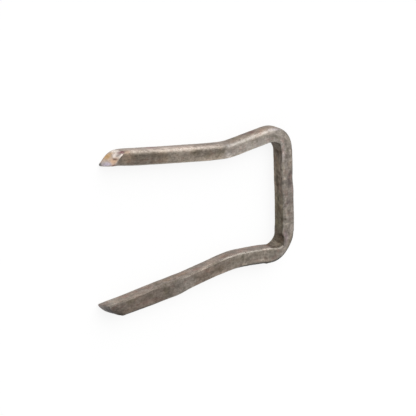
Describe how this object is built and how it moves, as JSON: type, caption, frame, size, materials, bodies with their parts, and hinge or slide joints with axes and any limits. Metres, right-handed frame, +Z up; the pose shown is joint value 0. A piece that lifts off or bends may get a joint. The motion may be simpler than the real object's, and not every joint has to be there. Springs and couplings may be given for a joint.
{
  "type": "retainer clip",
  "caption": "U-shaped retainer clip bent from square spring wire, with legs that pinch in at a waist, flare out again and end in sheared points.",
  "frame": {"origin": "on the surface it lies on, under the middle of the clip's box", "axes": "+X along the legs toward the web, +Y across the legs toward the shorter leg, +Z up through the wire's thickness"},
  "size_m": [0.051, 0.0364, 0.0032],
  "materials": {
    "wire": "dull, worn bare spring steel with a brown-grey oxide tint"
  },
  "bodies": {
    "root": {"retainer_clip": "wire"}
  },
  "joints": []
}
